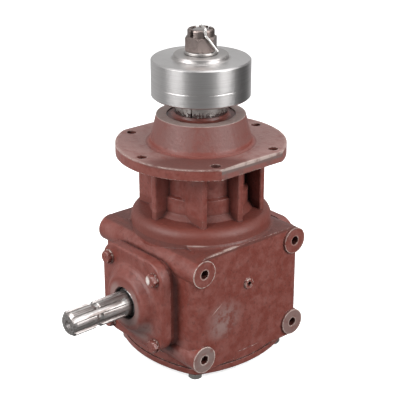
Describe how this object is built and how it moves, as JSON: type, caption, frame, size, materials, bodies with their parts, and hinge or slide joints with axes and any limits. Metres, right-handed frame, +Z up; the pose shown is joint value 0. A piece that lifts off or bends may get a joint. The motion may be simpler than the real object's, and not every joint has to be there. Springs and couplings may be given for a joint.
{
  "type": "right angle bevel gearbox",
  "caption": "Deck mounted right angle bevel gearbox with a splined input shaft and a blade hub on its vertical output shaft.",
  "frame": {"origin": "centre of the deck flange's upper, deck-mating face, on the output shaft's axis", "axes": "+Z up the output shaft to the blade hub; -Y along the input shaft towards its splined end; +X the face with the oil level plug"},
  "size_m": [0.207, 0.3606, 0.4679],
  "materials": {
    "case_paint": "oxide red primer, satin, over cast iron",
    "gasket_paper": "dark oiled gasket sheet",
    "seal_rubber": "greasy black nitrile",
    "bolt_steel": "bare zinc plated steel",
    "bearing_steel": "ground bearing steel",
    "cage_steel": "pressed steel",
    "gear_steel": "case hardened steel, oiled",
    "inner_steel": "turned steel, oiled",
    "shaft_steel": "milled and turned steel, bright with light staining",
    "hub_steel": "bright turned steel",
    "nut_steel": "dark hot forged steel",
    "pin_steel": "bright drawn wire"
  },
  "bodies": {
    "case": {"housing": "case_paint", "base_cover": "case_paint", "base_gasket": "gasket_paper", "base_bolts": "bolt_steel", "drain_plug": "bolt_steel", "oil_level_plug": "case_paint", "vent_plug": "case_paint", "input_cap": "case_paint", "input_cap_gasket": "gasket_paper", "input_cap_bolts": "case_paint", "input_cap_washers": "case_paint", "rear_cap": "case_paint", "rear_cap_gasket": "gasket_paper", "rear_cap_bolts": "case_paint", "rear_cap_washers": "case_paint", "input_oil_seal": "seal_rubber", "output_oil_seal": "seal_rubber", "output_upper_bearing_cup": "bearing_steel", "output_lower_bearing_cup": "bearing_steel", "input_front_bearing_cup": "bearing_steel", "input_rear_bearing_cup": "bearing_steel"},
    "output_shaft_assembly": {"output_shaft": "shaft_steel", "bevel_pinion": "gear_steel", "pinion_key": "inner_steel", "pinion_washer": "inner_steel", "pinion_nut": "inner_steel", "output_upper_bearing_cone": "bearing_steel", "output_lower_bearing_cone": "bearing_steel", "output_spacer": "inner_steel", "seal_collar": "hub_steel", "blade_hub": "hub_steel", "hub_key": "inner_steel", "hub_washer": "hub_steel", "castle_nut": "nut_steel", "cotter_pin": "pin_steel"},
    "input_shaft_assembly": {"input_shaft": "shaft_steel", "bevel_gear": "gear_steel", "gear_key": "inner_steel", "input_spacer": "inner_steel", "input_front_bearing_cone": "bearing_steel", "input_rear_bearing_cone": "bearing_steel"},
    "output_upper_roller_set": {"output_upper_bearing_rollers": "bearing_steel", "output_upper_bearing_cage": "cage_steel"},
    "output_lower_roller_set": {"output_lower_bearing_rollers": "bearing_steel", "output_lower_bearing_cage": "cage_steel"},
    "input_front_roller_set": {"input_front_bearing_rollers": "bearing_steel", "input_front_bearing_cage": "cage_steel"},
    "input_rear_roller_set": {"input_rear_bearing_rollers": "bearing_steel", "input_rear_bearing_cage": "cage_steel"}
  },
  "joints": [
    {"name": "output_spin", "type": "hinge", "parent": "case", "child": "output_shaft_assembly", "pos_m": [0, 0, 0], "axis": [0, 0, 1], "continuous": true},
    {"name": "input_spin", "type": "hinge", "parent": "case", "child": "input_shaft_assembly", "pos_m": [0, 0, -0.202], "axis": [0, 1, 0], "continuous": true},
    {"name": "output_upper_rollers_orbit", "type": "hinge", "parent": "case", "child": "output_upper_roller_set", "pos_m": [0, 0, 0.0135], "axis": [0, 0, 1], "continuous": true},
    {"name": "output_lower_rollers_orbit", "type": "hinge", "parent": "case", "child": "output_lower_roller_set", "pos_m": [0, 0, -0.091], "axis": [0, 0, 1], "continuous": true},
    {"name": "input_front_rollers_orbit", "type": "hinge", "parent": "case", "child": "input_front_roller_set", "pos_m": [0, -0.0965, -0.202], "axis": [0, 1, 0], "continuous": true},
    {"name": "input_rear_rollers_orbit", "type": "hinge", "parent": "case", "child": "input_rear_roller_set", "pos_m": [0, 0.0965, -0.202], "axis": [0, 1, 0], "continuous": true}
  ],
  "couplings": [
    {"joint": "input_spin", "follows": "output_spin", "ratio": 0.68182},
    {"joint": "output_upper_rollers_orbit", "follows": "output_spin", "ratio": 0.43857},
    {"joint": "output_lower_rollers_orbit", "follows": "output_spin", "ratio": 0.43758},
    {"joint": "input_front_rollers_orbit", "follows": "output_spin", "ratio": 0.29205},
    {"joint": "input_rear_rollers_orbit", "follows": "output_spin", "ratio": 0.29205}
  ]
}
